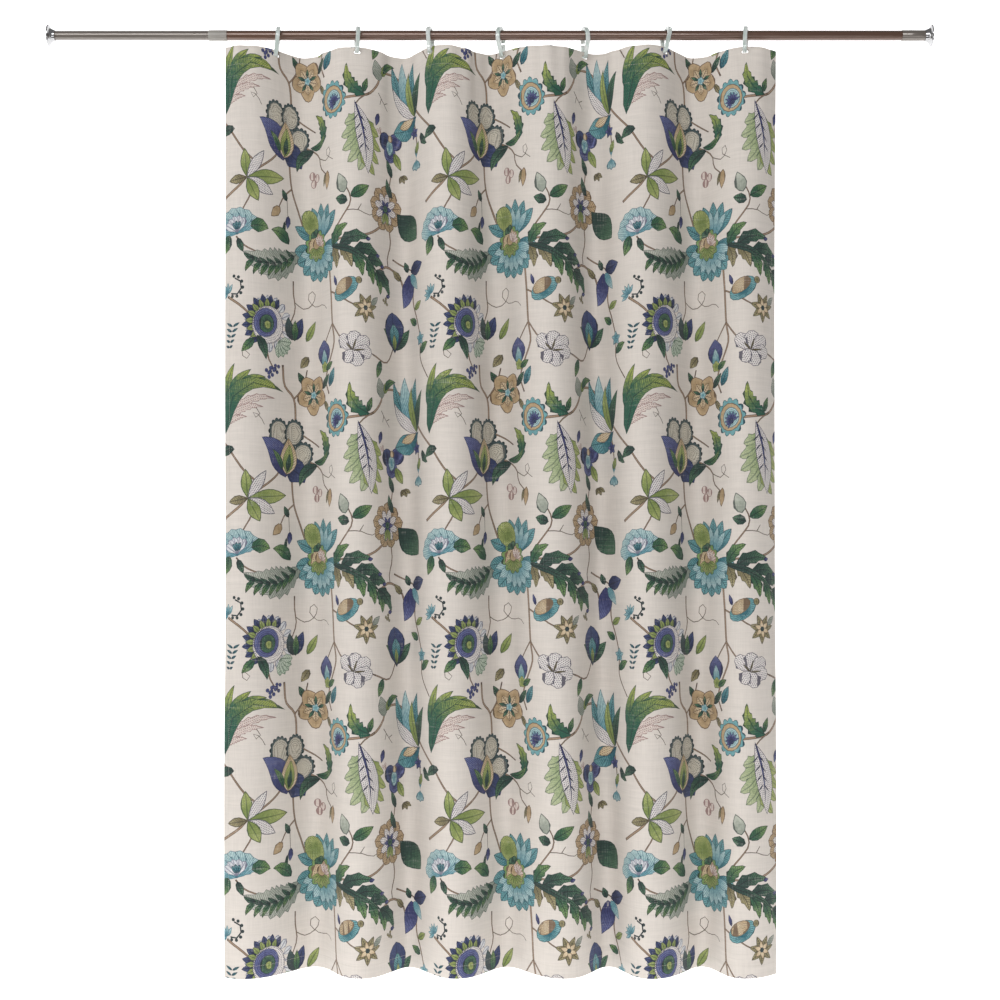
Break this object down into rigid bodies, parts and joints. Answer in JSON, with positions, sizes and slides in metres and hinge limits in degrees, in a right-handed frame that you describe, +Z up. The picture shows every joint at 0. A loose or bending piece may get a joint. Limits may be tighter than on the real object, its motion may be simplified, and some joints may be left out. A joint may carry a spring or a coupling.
{
  "type": "shower curtain on tension rod",
  "caption": "Printed fabric shower curtain hanging in soft folds by clear snap rings from a telescopic twist-lock tension rod with round wall flanges.",
  "frame": {"origin": "middle of the right wall pad's outer face, on the rod's axis", "axes": "+X along the rod and out of the right wall pad, +Z up, the curtain's front faces -Y"},
  "size_m": [1.729, 0.0855, 1.855],
  "materials": {
    "tube_metal": "polished grey-brown metal",
    "chrome": "bright chrome",
    "pad_rubber": "matt grey rubber",
    "nylon": "matt natural nylon",
    "bush_plastic": "satin grey plastic",
    "ring_plastic": "glossy milky clear plastic with a mint tint",
    "printed_cloth": "linen-look woven polyester with a multi-coloured crewel-style floral print",
    "hem_cloth": "plain woven back of the print"
  },
  "bodies": {
    "rod_outer": {"outer_tube": "tube_metal", "mouth_bush": "bush_plastic", "right_ferrule": "tube_metal", "right_flange": "chrome", "right_end_plug": "nylon", "right_wall_pad": "pad_rubber"},
    "lock_collet": {"lock_collet": "nylon"},
    "rod_inner": {"inner_tube": "tube_metal", "lock_spindle": "nylon", "left_flange": "chrome", "left_end_plug": "nylon", "left_wall_pad": "pad_rubber"},
    "ring_1": {"ring_1": "ring_plastic"},
    "ring_2": {"ring_2": "ring_plastic"},
    "ring_3": {"ring_3": "ring_plastic"},
    "ring_4": {"ring_4": "ring_plastic"},
    "ring_5": {"ring_5": "ring_plastic"},
    "ring_6": {"ring_6": "ring_plastic"},
    "ring_7": {"ring_7": "ring_plastic"},
    "curtain": {"curtain_panel": "printed_cloth", "header_tape": "hem_cloth", "bottom_hem": "hem_cloth", "left_hem": "hem_cloth", "right_hem": "hem_cloth"}
  },
  "joints": [
    {"name": "rod_extend", "type": "slide", "parent": "rod_outer", "child": "lock_collet", "axis": [-1, 0, 0], "range_m": [-0.27, 0.22]},
    {"name": "lock_twist", "type": "hinge", "parent": "lock_collet", "child": "rod_inner", "pos_m": [-1.729, 0, 0], "axis": [1, 0, 0], "range_deg": [-180, 0]},
    {"name": "curtain_shift", "type": "slide", "parent": "rod_outer", "child": "ring_7", "axis": [1, 0, 0], "range_m": [-0.05, 0.22]},
    {"name": "curtain_swing", "type": "hinge", "parent": "ring_7", "child": "curtain", "pos_m": [-1.378, -0.003, -0.037], "axis": [1, 0, 0], "range_deg": [-12, 12]},
    {"name": "curtain_draw", "type": "slide", "parent": "ring_7", "child": "ring_1", "axis": [1, 0, 0], "range_m": [0, 0.6395], "deforming": ["curtain_panel", "header_tape", "bottom_hem", "left_hem", "right_hem"]},
    {"name": "ring_2_slide", "type": "slide", "parent": "ring_7", "child": "ring_2", "axis": [1, 0, 0], "range_m": [0, 0.529]},
    {"name": "ring_3_slide", "type": "slide", "parent": "ring_7", "child": "ring_3", "axis": [1, 0, 0], "range_m": [0, 0.4301]},
    {"name": "ring_4_slide", "type": "slide", "parent": "ring_7", "child": "ring_4", "axis": [1, 0, 0], "range_m": [0, 0.3311]},
    {"name": "ring_5_slide", "type": "slide", "parent": "ring_7", "child": "ring_5", "axis": [1, 0, 0], "range_m": [0, 0.2179]},
    {"name": "ring_6_slide", "type": "slide", "parent": "ring_7", "child": "ring_6", "axis": [1, 0, 0], "range_m": [0, 0.1092]}
  ],
  "couplings": [
    {"joint": "ring_2_slide", "follows": "curtain_draw", "ratio": 0.82649},
    {"joint": "ring_3_slide", "follows": "curtain_draw", "ratio": 0.67175},
    {"joint": "ring_4_slide", "follows": "curtain_draw", "ratio": 0.517},
    {"joint": "ring_5_slide", "follows": "curtain_draw", "ratio": 0.33998},
    {"joint": "ring_6_slide", "follows": "curtain_draw", "ratio": 0.16999}
  ]
}
